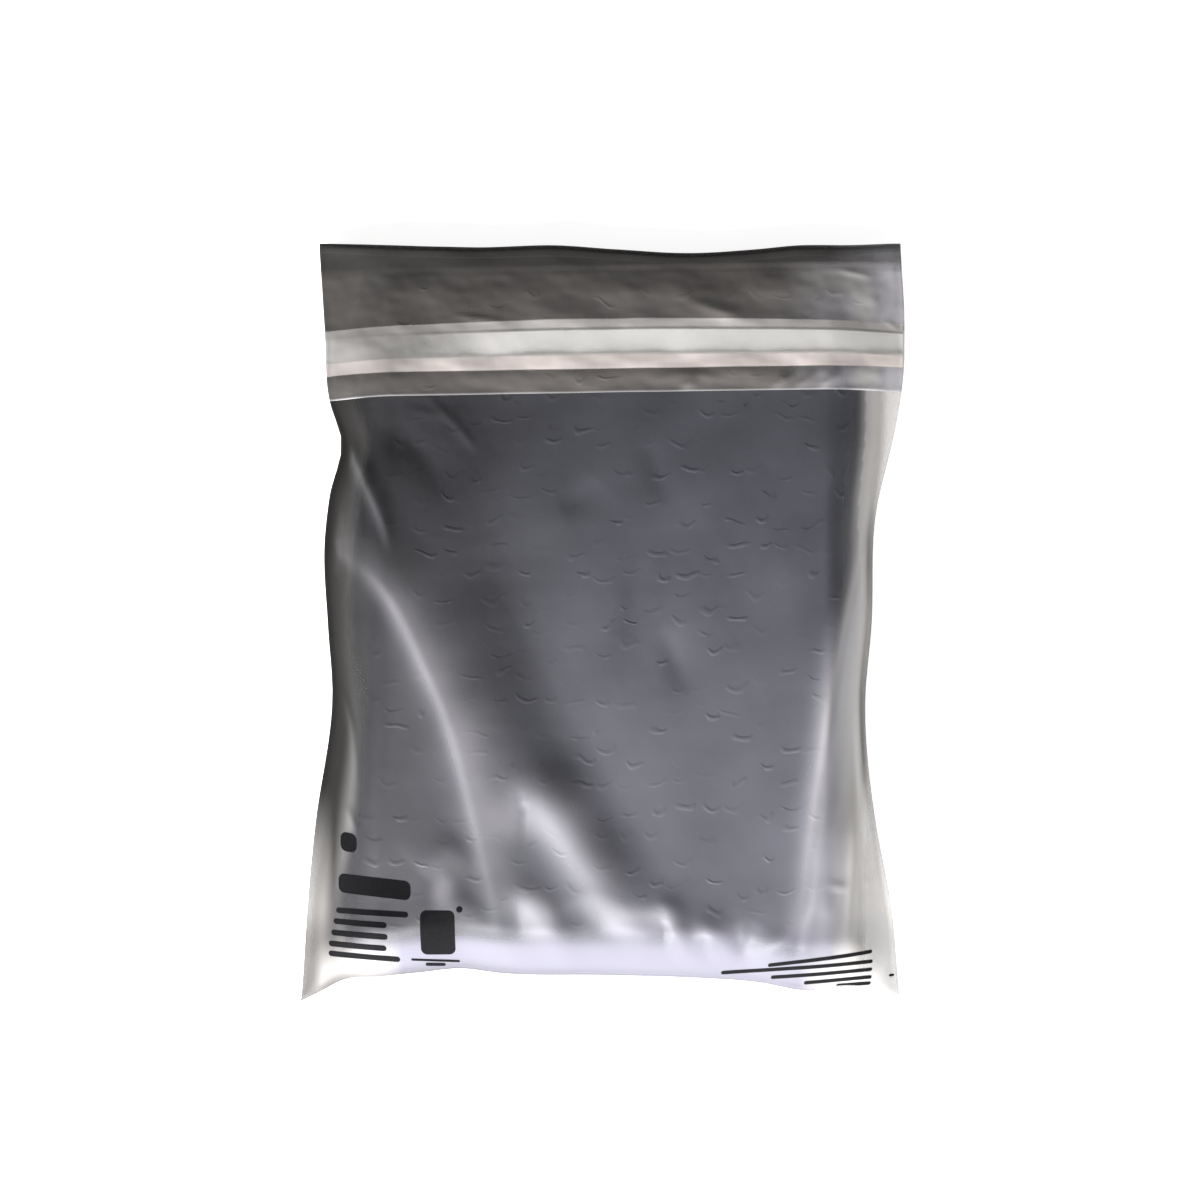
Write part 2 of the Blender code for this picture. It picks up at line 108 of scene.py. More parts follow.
# The film's folds on the front: (points, height, half width, width of the left-hand flank). A
# point is (share of the half width, share of the length). Heights and widths are shares of the two
# lengths below, and the left-hand flank's is a share of the other flank's.
FOLD_HEIGHT = 6.5 * MM
FOLD_WIDTH = 7.5 * MM
FOLDS = {
    "left_diagonal": ([(-0.884, 0.574), (-0.840, 0.580), (-0.767, 0.558), (-0.677, 0.514),
                       (-0.589, 0.444), (-0.497, 0.358), (-0.422, 0.248), (-0.353, 0.137),
                       (-0.330, 0.085)], 1.0, 1.0, 2.8),
    "left_pocket": ([(-0.864, 0.726), (-0.811, 0.689), (-0.732, 0.616), (-0.698, 0.564)],
                    0.6, 0.4, 1.6),
    "hook": ([(-0.935, 0.577), (-0.900, 0.583), (-0.850, 0.580), (-0.790, 0.566), (-0.735, 0.545)],
             0.2, 0.3, 1.0),
    "pocket_edge": ([(-0.905, 0.765), (-0.862, 0.732), (-0.815, 0.692), (-0.765, 0.650)],
                    0.35, 0.25, 1.0),
    "pocket_crease": ([(-0.914, 0.598), (-0.861, 0.600), (-0.794, 0.599), (-0.725, 0.594)],
                      0.3, 0.22, 1.0),
    "pocket_fan": ([(-0.620, 0.604), (-0.560, 0.600), (-0.500, 0.601)], 0.12, 0.16, 1.0),
    "pocket_fan_low": ([(-0.640, 0.588), (-0.570, 0.578), (-0.510, 0.575)], 0.12, 0.16, 1.0),
    "top_pleat": ([(-0.590, 0.788), (-0.490, 0.748), (-0.420, 0.712)], 0.16, 0.3, 1.0),
    "top_pleat_low": ([(-0.660, 0.772), (-0.560, 0.765), (-0.490, 0.772)], 0.10, 0.2, 1.0),
    "left_crease": ([(-0.872, 0.403), (-0.838, 0.362), (-0.824, 0.319), (-0.819, 0.283)],
                    0.25, 0.2, 1.0),
    "left_crease_low": ([(-0.848, 0.255), (-0.834, 0.237), (-0.814, 0.218)], 0.25, 0.2, 1.0),
    "right_long": ([(0.895, 0.643), (0.854, 0.586), (0.803, 0.512), (0.756, 0.427),
                    (0.719, 0.345), (0.676, 0.226), (0.645, 0.116), (0.620, 0.073)],
                   0.8, 1.2, 0.65),
    "right_edge": ([(0.862, 0.572), (0.847, 0.403), (0.830, 0.248), (0.810, 0.118),
                    (0.800, 0.066)], 0.45, 0.5, 1.0),
    "middle_lobe": ([(-0.330, 0.251), (-0.277, 0.275), (-0.214, 0.265), (-0.150, 0.233),
                     (-0.080, 0.189), (-0.009, 0.147), (0.054, 0.109), (0.138, 0.069)],
                    0.9, 1.8, 1.3),
    "lower_lobe": ([(-0.346, 0.115), (-0.313, 0.131), (-0.270, 0.138), (-0.210, 0.118),
                    (-0.154, 0.084), (-0.117, 0.049)], 0.6, 1.3, 1.1),
    "patch_lobe": ([(-0.151, 0.112), (-0.072, 0.139), (0.034, 0.126), (0.156, 0.073)],
                   0.5, 1.3, 0.8),
    "left_lobe": ([(-0.604, 0.167), (-0.562, 0.183), (-0.503, 0.193), (-0.436, 0.181),
                   (-0.376, 0.157)], 0.35, 1.3, 1.0),
    "left_low": ([(-0.652, 0.092), (-0.567, 0.115), (-0.485, 0.125), (-0.408, 0.115),
                  (-0.336, 0.079)], 0.3, 1.1, 1.0),
    "bottom_spike": ([(0.178, 0.092), (0.194, 0.121), (0.221, 0.102), (0.262, 0.073),
                      (0.309, 0.050)], 0.45, 1.0, 1.0),
    "second_spike": ([(0.295, 0.066), (0.324, 0.093), (0.367, 0.082), (0.444, 0.059)],
                     0.4, 0.9, 1.0),
    "right_low": ([(0.655, 0.125), (0.610, 0.092), (0.544, 0.066), (0.479, 0.043)],
                  0.5, 0.8, 1.4),
    "right_corner": ([(0.925, 0.170), (0.879, 0.157), (0.819, 0.152), (0.753, 0.151),
                      (0.697, 0.153)], 0.2, 0.2, 1.0),
}
# Hollows between the folds, where the film sinks with the goods: (points, depth, half width).
HOLLOWS = {
    "beside_diagonal": ([(-0.379, 0.598), (-0.247, 0.468), (-0.131, 0.339), (0.050, 0.222),
                         (0.249, 0.131)], 0.5, 2.8),
    "upper_dent": ([(0.143, 0.732), (0.170, 0.689), (0.198, 0.642)], 0.11, 0.9),
    "left_dent": ([(-0.152, 0.643), (-0.086, 0.650), (-0.021, 0.676)], 0.14, 1.0),
    "middle_dent": ([(0.114, 0.572), (0.096, 0.520), (0.064, 0.468)], 0.2, 0.9),
    "low_dent": ([(0.196, 0.481), (0.230, 0.442), (0.264, 0.398)], 0.15, 0.9),
    "top_hollow": ([(-0.750, 0.747), (-0.616, 0.715), (-0.515, 0.650)], 0.28, 1.2),
    "patch_valley": ([(-0.054, 0.098), (0.029, 0.085), (0.129, 0.073)], 0.25, 0.8),
    "right_notch": ([(0.427, 0.103), (0.454, 0.074), (0.500, 0.103)], 0.3, 0.7),
}
# Creases in the flap's own film, likewise.
FLAP_CREASES = {
    "at_liner": ([(-0.499, 0.898), (-0.420, 0.894), (-0.349, 0.892)], 0.10, 0.12, 1.0),
    "at_corner": ([(0.935, 0.897), (0.965, 0.889), (0.990, 0.884)], 0.08, 0.1, 1.0),
    "at_mouth": ([(0.788, 0.961), (0.840, 0.957), (0.895, 0.954)], 0.08, 0.12, 1.0),
    "above_liner": ([(0.30, 0.915), (0.38, 0.905), (0.45, 0.898)], 0.2, 0.4, 1.0),
    "first_pleat": ([(0.781, 0.823), (0.745, 0.808), (0.711, 0.794)], 0.22, 0.25, 1.0),
    "second_pleat": ([(0.705, 0.823), (0.668, 0.808), (0.634, 0.796)], 0.22, 0.3, 1.0),
    "third_pleat": ([(0.620, 0.822), (0.590, 0.808), (0.558, 0.794)], 0.2, 0.3, 1.0),
    "fourth_pleat": ([(0.300, 0.818), (0.285, 0.806), (0.270, 0.794)], 0.18, 0.3, 1.0),
    "long_pleat": ([(0.130, 0.806), (0.220, 0.816), (0.300, 0.818), (0.400, 0.810)],
                   0.08, 0.3, 1.0),
}
# The film's slight unevenness, as (height, wave length, number of waves, seed).
FRONT_UNEVEN = [(0.3 * MM, 38 * MM, 16, 3), (0.02 * MM, 10 * MM, 16, 4)]
FLAP_UNEVEN = [(0.24 * MM, 20 * MM, 14, 8), (0.07 * MM, 7 * MM, 14, 9)]
UNEVEN_FROM_FOLD, UNEVEN_FROM_EDGE = 8 * MM, 3 * MM  # the flap is even next to its fold and edge
FACET_RISE, FACET_EDGE = 1.5 * MM, 5.0 * MM
FACET_TOP, FACET_FOOT = (0.6, 0.48), (0.0, 0.1)  # the shares of the length over which it fades
FOLD_POINTS = 40
FOLD_FADE = 5.0 * MM  # folds and hollows fade over this width next to the welds and the bottom
FLANK_BLEND = 0.3  # share of the half width over which one flank's width turns into the other's
FOLD_END = 0.06  # a fold's line begins and ends this share short of where its height would be 0
CROSSING_POWER = 3.0  # where folds cross, the power of the mean that keeps the higher crest


def through(points, at):
    """The smooth curve through (place, value) points: cubics whose slopes match at each point."""
    place, value = np.array(points, float).T
    slope = np.gradient(value, place)
    at = np.clip(at, place[0], place[-1])
    i = np.clip(np.searchsorted(place, at, side="right") - 1, 0, len(place) - 2)
    step = place[i + 1] - place[i]
    u = (at - place[i]) / step
    start = (1 + 2 * u) * (1 - u) ** 2 * value[i] + u * (1 - u) ** 2 * step * slope[i]
    end = u * u * (3 - 2 * u) * value[i + 1] + u * u * (u - 1) * step * slope[i + 1]
    return start + end


def ease(u):
    """0 up to u = 0 and 1 from u = 1, with a smooth S between."""
    u = np.clip(u, 0, 1)
    return u * u * (3 - 2 * u)


def ramp(value, start, end):
    """0 up to start and 1 from end, with a smooth S between. The start may be the larger one."""
    return ease((value - start) / (end - start))


def shoulder(u):
    """Rises like film pulled over a rounded shoulder: the sine of a quarter turn, eased in."""
    return np.sin(np.pi / 2 * np.clip(u, 0, 1)) ** SHOULDER_POWER


def length_share(y):
    return np.clip((y - BOTTOM_Y) / BAG_LENGTH, 0, 1)


def middle(y):
    """The bag's middle line, which leans to the right towards the flap."""
    return TOP_LEAN * (length_share(y) - 0.5)


def weld_reach(s, y):
    """Half the flat width, less what the goods draw in on the side that s points to."""
    v = length_share(y)
    return HALF_WIDTH - np.where(s < 0, through(LEFT_DRAW, v), through(RIGHT_DRAW, v))


def beside(s, y):
    return middle(y) + s * weld_reach(s, y)


def across_share(x, y):
    off = x - middle(y)
    return np.clip(off / weld_reach(off, y), -1, 1)


def bottom_edge(s):
    return BOTTOM_Y + through(BOTTOM_LIFT, s)


def inside_weld(x, y):
    """How far inside the nearer weld's outer edge a place lies."""
    off = x - middle(y)
    return weld_reach(off, y) - np.abs(off)


def above_bottom(x, y):
    return y - bottom_edge(across_share(x, y))


def thickness(y):
    return BAG_THICKNESS * through(THICKNESS_ALONG, length_share(y))


def seam_height(s, y):
    """Height of the welds and the bottom fold: a share of the thickness, low at the ears."""
    near_bottom = 1 - ease((y - bottom_edge(s)) / (EAR_LENGTH * BAG_LENGTH))
    ear = near_bottom * ease((np.abs(s) - EAR_FROM) / (1 - EAR_FROM))
    return EAR_HEIGHT * ear + WELD_SHARE * thickness(y) * (1 - ear)


def room_share(x, y):
    """How far the film has risen from its edges: the product of a shoulder at the sides, which
    starts inside the weld's flat lip, and one at the bottom fold."""
    off = x - middle(y)
    reach = weld_reach(off, y) - WELD_LIP
    level_at = np.minimum(HALF_WIDTH - FREE_SIDE, reach) - SHOULDER
    sides = shoulder((reach - np.abs(off)) / (reach - level_at))
    ends = shoulder(above_bottom(x, y) / (BOTTOM_ROOM + SHOULDER))
    return sides * ends


def smooth_front(x, y):
    """The front film without folds: from the seam's height to the crowned thickness, less the
    hollows."""
    s = across_share(x, y)
    seam = seam_height(s, y)
    crowned = thickness(y) * (1 - CROWN * s * s)
    return seam + (crowned - seam) * room_share(x, y) - hollows(x, y)


def beside_line(x, y, points):
    """For a fold's line: the distance to it, how far along it the nearest point lies (0 to 1) and
    the distance with its sign, which is that of the side."""
    marks = np.linspace(0, 1, len(points))
    along = np.linspace(0, 1, FOLD_POINTS)
    shares = np.array(points)
    line_x = through(np.column_stack([marks, shares[:, 0]]), along) * HALF_WIDTH
    line_y = through(np.column_stack([marks, shares[:, 1]]), along) * BAG_LENGTH + BOTTOM_Y
    best = np.full(x.shape, np.inf)
    place, side = np.zeros(x.shape), np.zeros(x.shape)
    for k in range(FOLD_POINTS - 1):
        run_x, run_y = line_x[k + 1] - line_x[k], line_y[k + 1] - line_y[k]
        length = np.hypot(run_x, run_y)
        off_x, off_y = x - line_x[k], y - line_y[k]
        u = np.clip((off_x * run_x + off_y * run_y) / length ** 2, 0, 1)
        apart = np.hypot(off_x - u * run_x, off_y - u * run_y)
        nearer = apart < best
        best = np.where(nearer, apart, best)
        place = np.where(nearer, (k + u) / (FOLD_POINTS - 1), place)
        side = np.where(nearer, (off_x * run_y - off_y * run_x) / length, side)
    return best, place, side


def fold_height(x, y, points, height, half_width, left_flank=1.0):
    """A ridge along a fold's line: its height over (1 + (distance / half width) squared) to the
    power 1.5, tapered to both ends of the line."""
    apart, place, side = beside_line(x, y, points)
    turned = np.tanh(side / (FLANK_BLEND * half_width * FOLD_WIDTH))
    width = half_width * FOLD_WIDTH * (1 + (left_flank - 1) * (1 - turned) / 2)
    taper = np.sin(np.pi * (FOLD_END + (1 - 2 * FOLD_END) * place))
    return height * FOLD_HEIGHT * taper / (1 + (apart / width) ** 2) ** 1.5


def edge_fade(x, y):
    """1 inside and 0 on the weld's lip and at the bottom fold."""
    fade = ease((inside_weld(x, y) - WELD_LIP) / FOLD_FADE)
    return fade * ease(above_bottom(x, y) / FOLD_FADE)


def folds(x, y):
    """All the folds together: where two cross, the power mean keeps the higher crest."""
    total = sum(fold_height(x, y, *fold) ** CROSSING_POWER for fold in FOLDS.values())
    return edge_fade(x, y) * (total ** (1 / CROSSING_POWER) + FACET_RISE * facet(x, y))


def facet(x, y):
    """1 on the flat of slack film to the right of the long right-hand fold, and 0 elsewhere."""
    side = beside_line(x, y, FOLDS["right_long"][0])[2]
    v = length_share(y)
    return ease(-side / FACET_EDGE) * ramp(v, *FACET_TOP) * ramp(v, *FACET_FOOT)


def hollows(x, y):
    return edge_fade(x, y) * sum(fold_height(x, y, *hollow) for hollow in HOLLOWS.values())


def waves(x, y, length, count, seed):
    """Soft random unevenness between about -1 and 1: plane waves of 0.7 to 1.5 times that length,
    added and divided by the root of their number. Directions, phases and lengths come from the
    seed."""
    draw = np.random.default_rng(seed)
    total = np.zeros(np.broadcast(x, y).shape)
    for turn, phase, stretch in draw.uniform(0, 1, (count, 3)):
        k = 2 * np.pi / (length * (0.7 + 0.8 * stretch))
        along = x * np.cos(np.pi * turn) + y * np.sin(np.pi * turn)
        total += np.sin(k * along + 2 * np.pi * phase)
    return total / np.sqrt(count)


def unevenness(x, y, layers):
    return sum(height * waves(x, y, *layer) for height, *layer in layers)


def film_front(x, y):
    """The inner face of the front film, with its folds and a slight unevenness."""
    lip = ease(np.minimum(inside_weld(x, y), above_bottom(x, y)) / (2 * WELD_LIP))
    uneven = unevenness(x, y, FRONT_UNEVEN)
    return smooth_front(x, y) + lip * (SHEET_GAP + folds(x, y) + uneven + CAD_GAUGE)


def film_back(x, y):
    """The inner face of the back film: flat on the surface, turned up to the welds and fold."""
    inward = np.minimum(inside_weld(x, y) - WELD_LIP, above_bottom(x, y))
    off_weld = CAD_GAUGE * ease((inward + WELD_LIP) / FOLD_FADE) - BACK_SUNK
    seam = seam_height(across_share(x, y), y)
    return off_weld + seam * (1 - ease(inward / (REST_MARGIN - WELD_LIP)))


def mouth_edge(s):
    return FOLD_Y - MOUTH_SETBACK + MOUTH_SLOPE * s


def fold_edge(s):
    """The flap fold's line, which dips where the film is not pulled tight."""
    return FOLD_Y - FOLD_BULGE - through(TOP_DIP, s)


def flap_edge(s):
    return FOLD_Y - FLAP_LENGTH + FLAP_SKEW * (s - 1) / 2


COLUMNS, FRONT_ROWS, BACK_ROWS, TURN_ROWS, FLAP_ROWS = 170, 180, 40, 10, 56
COLUMN_CROWDING = 0.28
BACK_LIFT, FLAP_LIFT = 6 * MM, 4 * MM  # how far back and flap stand off, for their look


def crowded(count, crowding):
    """Places from -1 to 1, closer together at both ends: a straight line blended with a quarter
    turn of the sine to each side, whose share is the crowding."""
    u = np.linspace(-1, 1, count + 1)
    return (1 - crowding) * u + crowding * np.sin(np.pi / 2 * u)


def film_rows():
    """The whole web as rows of points, from the mouth down the front, round the bottom fold, up
    the back, round the flap fold and down to the flap's cut edge. Returns x, y and z, and the
    marks that its material reads."""
    s = crowded(COLUMNS, COLUMN_CROWDING)[None, :]
    low, mouth, root, end = bottom_edge(s), mouth_edge(s), fold_edge(s), flap_edge(s)

    t = np.linspace(1, 0, FRONT_ROWS + 1)[:, None]
    front_y = low + t * (mouth - low)
    front_x = beside(s, front_y)
    front_z = film_front(front_x, front_y)

    t = np.linspace(0, 1, BACK_ROWS + 1)[1:, None]
    back_y = low + t * (mouth - low)
    back_x = beside(s, back_y)
    back_z = film_back(back_x, back_y)

    turn = (np.linspace(0, 1, TURN_ROWS + 1)[:, None] - 0.5) * np.pi
    turn_y = root + FOLD_BULGE * np.cos(turn)
    turn_x = beside(s, root) + 0 * turn
    bottom_z = film_back(turn_x, root + 0 * turn)
    top_z = flap_over(turn_x, root + 0 * turn)
    turn_z = (bottom_z + top_z) / 2 + (top_z - bottom_z) / 2 * np.sin(turn)

    t = np.linspace(0, 1, FLAP_ROWS + 1)[1:, None]
    flap_y = root + t * (end - root)
    flap_x = beside(s, flap_y)
    flap_z = flap_over(flap_x, flap_y)

    x = np.concatenate([front_x, back_x, turn_x, flap_x])
    y = np.concatenate([front_y, back_y, turn_y, flap_y])
    z = np.concatenate([front_z, back_z, turn_z, flap_z])
    lift = np.concatenate([standing_off(front_x, front_y, front_z), BACK_LIFT + 0 * back_z,
                           BACK_LIFT + 0 * turn_z, FLAP_LIFT + 0 * flap_z])
    crest = np.concatenate([on_crest(front_x, front_y), 0 * back_x, 0 * turn_x, 0 * flap_x])
    under_flap = -1 + np.zeros((front_y.shape[0] + back_y.shape[0], s.shape[1]))
    down = np.concatenate([under_flap, turn_y - end, flap_y - end])
    past = np.concatenate([under_flap, turn_y - mouth, flap_y - mouth])
    marks = film_marks(x, y, s + 0 * y, down, past)
    return x, y, z, {**marks, "lift": lift, "crest": crest}


LINER_TO_EDGE = 10.5 * MM  # from the liner to the flap's cut edge
CREST_WIDTH = 1.8 * MM  # of the painted highlight on the crest of the long right-hand fold
CREST_TOP, CREST_FOOT = (0.0, 0.1), (1.0, 0.4)  # the shares of its line over which it fades
GOODS_EDGE = 5 * MM  # from this far outside to this far inside the goods' rim the film's look turns
RIM_SOFT = 6.5 * MM  # within this of the goods' rim the frosted film blurs their outline
# Where the painted shade, a grey tint for the shade seen through the film on the left margin and
# over the top, begins and where it is full, as shares of the half width: on the left margin and on
# the flap. The painted shade that darkens the left side likewise, on the flap and on the front.
SHADE_SIDE, SHADE_FLAP = (0.74, 0.94), (0.97, 0.52)
LEFT_SHADE_FLAP, LEFT_SHADE_FRONT = (0.25, 1.0), (-0.3, 0.9)
# On the margin the painted shade thins at the bottom fold, outward on the ear, and on the folds.
SHADE_FOOT, SHADE_FOOT_SHARE = (0.03, 0.09), 0.4
SHADE_EAR, SHADE_EAR_REACH, SHADE_EAR_TOP, SHADE_EAR_LOSS = 114 * MM, 12 * MM, (0.29, 0.19), 0.75
SHADE_FOLD, SHADE_FOLD_LOSS = 3.5 * MM, 0.12


def film_marks(x, y, side, down, past):
    """What the material reads besides lift, how far the film stands off what lies under it, and
    crest, where the painted highlight on the long right-hand fold goes. Down and past are heights
    above the flap's cut edge and above the mouth, over runs across the liner from 0 to 1 and side
    across the bag from -1 to 1. The others are shares: of the painted shade on the left margin and
    the flap's top, and of that on the left side, bare where no goods lie under the film, rim on the
    goods' rim, and of the patches of painted shade, where the film lets the dark goods show more."""
    v = length_share(y)
    foot = SHADE_FOOT_SHARE + (1 - SHADE_FOOT_SHARE) * ramp(v, *SHADE_FOOT)
    outward = np.clip((-x - SHADE_EAR) / SHADE_EAR_REACH, 0, 1) * ramp(v, *SHADE_EAR_TOP)
    on_folds = ease(folds(x, y) / SHADE_FOLD)
    margin = ramp(-side, *SHADE_SIDE) * foot * (1 - SHADE_EAR_LOSS * outward)
    margin = margin * (1 - SHADE_FOLD_LOSS * on_folds)
    inside = np.min(inside_goods(x, y), axis=0)
    return {"down": down, "past": past, "side": side,
            "over": (down - LINER_TO_EDGE) / liner_width(side),
            # Painted shade on the flap's top and on the left margin.
            "painted_shade": np.where(down >= 0, ramp(side, *SHADE_FLAP), margin),
            "left_shade": np.where(down >= 0, ramp(-side, *LEFT_SHADE_FLAP), ramp(-side, *LEFT_SHADE_FRONT)),
            "bare": 1 - ramp(inside, -GOODS_EDGE, GOODS_EDGE),
            "rim": np.exp(-(inside / RIM_SOFT) ** 4),
            "shade_patch": patches(x, y, SHADE_PATCHES)}


def on_crest(x, y):
    """1 on the crest line of the long right-hand fold, which gets a painted highlight, falling off
    as the exponential of minus the squared distance, and faded towards both ends."""
    apart, place, _ = beside_line(x, y, FOLDS["right_long"][0])
    return np.exp(-(apart / CREST_WIDTH) ** 2) * ramp(place, *CREST_TOP) * ramp(place, *CREST_FOOT)


# Patches of painted shade, where the film is made clearer so that the dark goods show darker:
# (share of the half width, share of the length, radius across, radius along, strength), the radii
# as shares too.
SHADE_PATCHES = [(-0.62, 0.73, 0.30, 0.08, 1.0), (-0.45, 0.70, 0.14, 0.06, 0.5),
            (-0.76, 0.62, 0.10, 0.06, 1.0), (-0.40, 0.53, 0.14, 0.08, 0.8),
            (-0.30, 0.44, 0.14, 0.08, 0.9), (-0.15, 0.32, 0.14, 0.07, 0.8),
            (0.06, 0.20, 0.16, 0.06, 0.7), (0.25, 0.13, 0.14, 0.04, 0.6),
            (-0.76, 0.50, 0.07, 0.05, 1.0), (0.12, 0.54, 0.08, 0.05, 0.5),
            (0.23, 0.42, 0.06, 0.03, 0.5), (0.72, 0.70, 0.12, 0.10, 0.1),
            (0.70, 0.52, 0.09, 0.08, 0.5), (-0.12, 0.645, 0.12, 0.03, 0.4),
            (-0.48, 0.17, 0.08, 0.03, 0.7), (0.16, 0.70, 0.10, 0.06, 0.4),
            (0.0, 0.78, 0.9, 0.05, 0.35)]
# Where slack film stands off the goods above the bottom fold, likewise.
MILKY = [(0.38, 0.075, 0.15, 0.030, 0.8), (-0.02, 0.075, 0.30, 0.020, 0.4),
         (-0.23, 0.105, 0.06, 0.030, 0.9), (0.12, 0.105, 0.12, 0.020, 0.7),
         (0.70, 0.09, 0.10, 0.03, 0.7), (-0.30, 0.24, 0.09, 0.03, 0.5),
         (-0.53, 0.144, 0.05, 0.025, 0.7), (-0.73, 0.080, 0.14, 0.020, 0.8)]
MILKY_LIFT, FACET_LIFT, FREE_LIFT = 7 * MM, 3 * MM, 12 * MM


def patches(x, y, places):
    """0 to 1: the sum of soft round patches, each the exponential of minus its squared distance."""
    across, along = x / HALF_WIDTH, (y - BOTTOM_Y) / BAG_LENGTH
    total = sum(strength * np.exp(-((across - u) / wide) ** 2 - ((along - v) / high) ** 2)
                for u, v, wide, high, strength in places)
    return np.clip(total, 0, 1)


def liner_width(s):
    """The liner is a little narrower at both ends, where the flap pulls it round."""
    return through([(-1.0, 19.6 * MM), (0.0, 22.0 * MM), (0.5, 21.0 * MM), (1.0, 18.8 * MM)], s)


def flap_over(x, y):
    """The flap's inner face: the front's height at that place or at the mouth, the strips between
    them, and creases that run across it. Below the liner it comes down on the front."""
    s = across_share(x, y)
    under = film_front(x, np.minimum(y, mouth_edge(s)))
    down = y - flap_edge(s)
    standoff = FILM_GAUGE + SHEET_GAP + STRIP_STACK * ease(down / FLAP_LANDING)
    creases = sum(fold_height(x, y, *crease) for crease in FLAP_CREASES.values())
    free = ease((FOLD_Y - y) / UNEVEN_FROM_FOLD) * ease(down / UNEVEN_FROM_EDGE)
    return under + standoff + (unevenness(x, y, FLAP_UNEVEN) + creases) * free


def standing_off(x, y, z):
    """How far the front film stands off the goods, or a wide gap where there are none."""
    on_goods = goods_fullness(x, y)
    gap = np.clip(z - goods_faces_at(x, y)[0] - GOODS_GAP - SHEET_GAP, 0, None)
    slack = FACET_LIFT * facet(x, y) + MILKY_LIFT * patches(x, y, MILKY)
    return np.where(on_goods > 0, gap + slack, FREE_LIFT)


def goods_sides(y):
    """Where the goods end on the left and on the right."""
    v = length_share(y)
    left = middle(y) - weld_reach(-1, y) + through(LEFT_GAP, v)
    return left, middle(y) + weld_reach(1, y) - through(RIGHT_GAP, v)


def goods_ends(s):
    return BOTTOM_Y + BOTTOM_ROOM + through(BOTTOM_LIFT, s), FOLD_Y - TOP_ROOM


def inside_goods(x, y):
    """How far inside each of the goods' four rims a place lies: less than 0 beside them."""
    left, right = goods_sides(y)
    low, high = goods_ends(across_share(x, y))
    return x - left, right - x, y - low, high - y


def goods_fullness(x, y):
    """1 in the middle of the goods, and a quarter circle down to 0 on their rim."""
    inward = [np.clip(d / GOODS_ROUNDING, 0, 1) for d in inside_goods(x, y)]
    return np.prod([np.sqrt(1 - (1 - d) ** 2) for d in inward], axis=0)


def goods_faces_at(x, y):
    """Heights of the goods' upper and lower faces."""
    ceiling, floor = smooth_front(x, y) - GOODS_GAP, film_back(x, y) + GOODS_SEAT
    level, half = (ceiling + floor) / 2, (ceiling - floor) / 2 * goods_fullness(x, y)
    return level + half, level - half


def grid_faces(rows, columns):
    """The quads of a grid of points stored row by row."""
    first = np.arange(rows - 1)[:, None] * columns + np.arange(columns - 1)[None, :]
    return np.stack([first, first + columns, first + columns + 1, first + 1], -1).reshape(-1, 4)


def new_piece(name, points, faces, material, attributes=None):
    """A mesh object from arrays, smooth shaded, with its float attributes, linked to the scene."""
    mesh = bpy.data.meshes.new(name)
    mesh.from_pydata(points.tolist(), [], faces.tolist())
    for label, values in (attributes or {}).items():
        layer = mesh.attributes.new(label, "FLOAT", "POINT")
        layer.data.foreach_set("value", np.ascontiguousarray(values, np.float32).ravel())
    mesh.shade_smooth()
    mesh.materials.append(material)
    obj = bpy.data.objects.new(name, mesh)
    bpy.context.scene.collection.objects.link(obj)
    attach(obj, "root")
    return obj


def linear(code):
    """The linear colour of an sRGB hex code, with alpha 1."""
    parts = [int(code[i:i + 2], 16) / 255 for i in (1, 3, 5)]
    return (*[c / 12.92 if c <= 0.04045 else ((c + 0.055) / 1.055) ** 2.4 for c in parts], 1.0)


def add(tree, kind, settings=None, **inputs):
    """Adds a node. Settings are its own properties. An input is named by its socket, with _ for a
    space, or by _ and its number, and takes a value or another node's output."""
    node = tree.nodes.new("ShaderNode" + kind)
    for key, value in (settings or {}).items():
        setattr(node, key, value)
    for key, value in inputs.items():
        socket = node.inputs[int(key[1:]) if key[1:].isdigit() else key.replace("_", " ")]
        if isinstance(value, bpy.types.NodeSocket):
            tree.links.new(value, socket)
        else:
            socket.default_value = value
    return node


def new_material(name):
    """A node material without nodes, and its tree."""
    material = bpy.data.materials.new(name)
    material.use_nodes = True
    tree = material.node_tree
    tree.nodes.clear()
    return material, tree


def finish(tree, **inputs):
    """Adds the surface's shader, with inputs as in add, and the output node."""
    skin = add(tree, "BsdfPrincipled", **inputs)
    add(tree, "OutputMaterial", Surface=skin.outputs["BSDF"])


# Frosted starch-polyester film, blown and matt. Pressed on the goods it is nearly clear and they
# show dark through it. Where it stands off it turns milky, and the adhesive wets its band and
# clears it. Painted onto it are shade, as grey to near-black tints over the top, the left margin
# and the left side, highlights on the crest of the long right-hand fold and on the flap's cut
# edge, and light over the liner and its margins.
FILM_TOUCHING, FILM_APART, FILM_FREE, FILM_SHADED = "#686971", "#AFADB4", "#DAD6D3", "#1A1817"
FILM_TOP_SHADE, FLAP_SHADED, FILM_LINED_LIGHT, FILM_LEFT_SHADE = "#2E2C2B", "#77726F", "#DAD7D4", "#3E3C3A"
RIM_INSIDE, RIM_APART, RIM_OUTSIDE, RIM_SHADED = "#4A4A4F", "#A19FA2", "#CBC8C5", "#4A4745"
FILM_LOW, FILM_BOTTOM, FILM_EARS, CREST_HIGHLIGHT = "#7D7C87", "#6D6C77", "#9F9C9A", "#C4C1C2"
LINER_MARGIN_LIGHT, LINER_UPPER_LIGHT, FLAP_RIM, LIP_HIGHLIGHT = "#F0E6E2", "#C4C0BE", "#A9A6A6", "#DCDCE0"
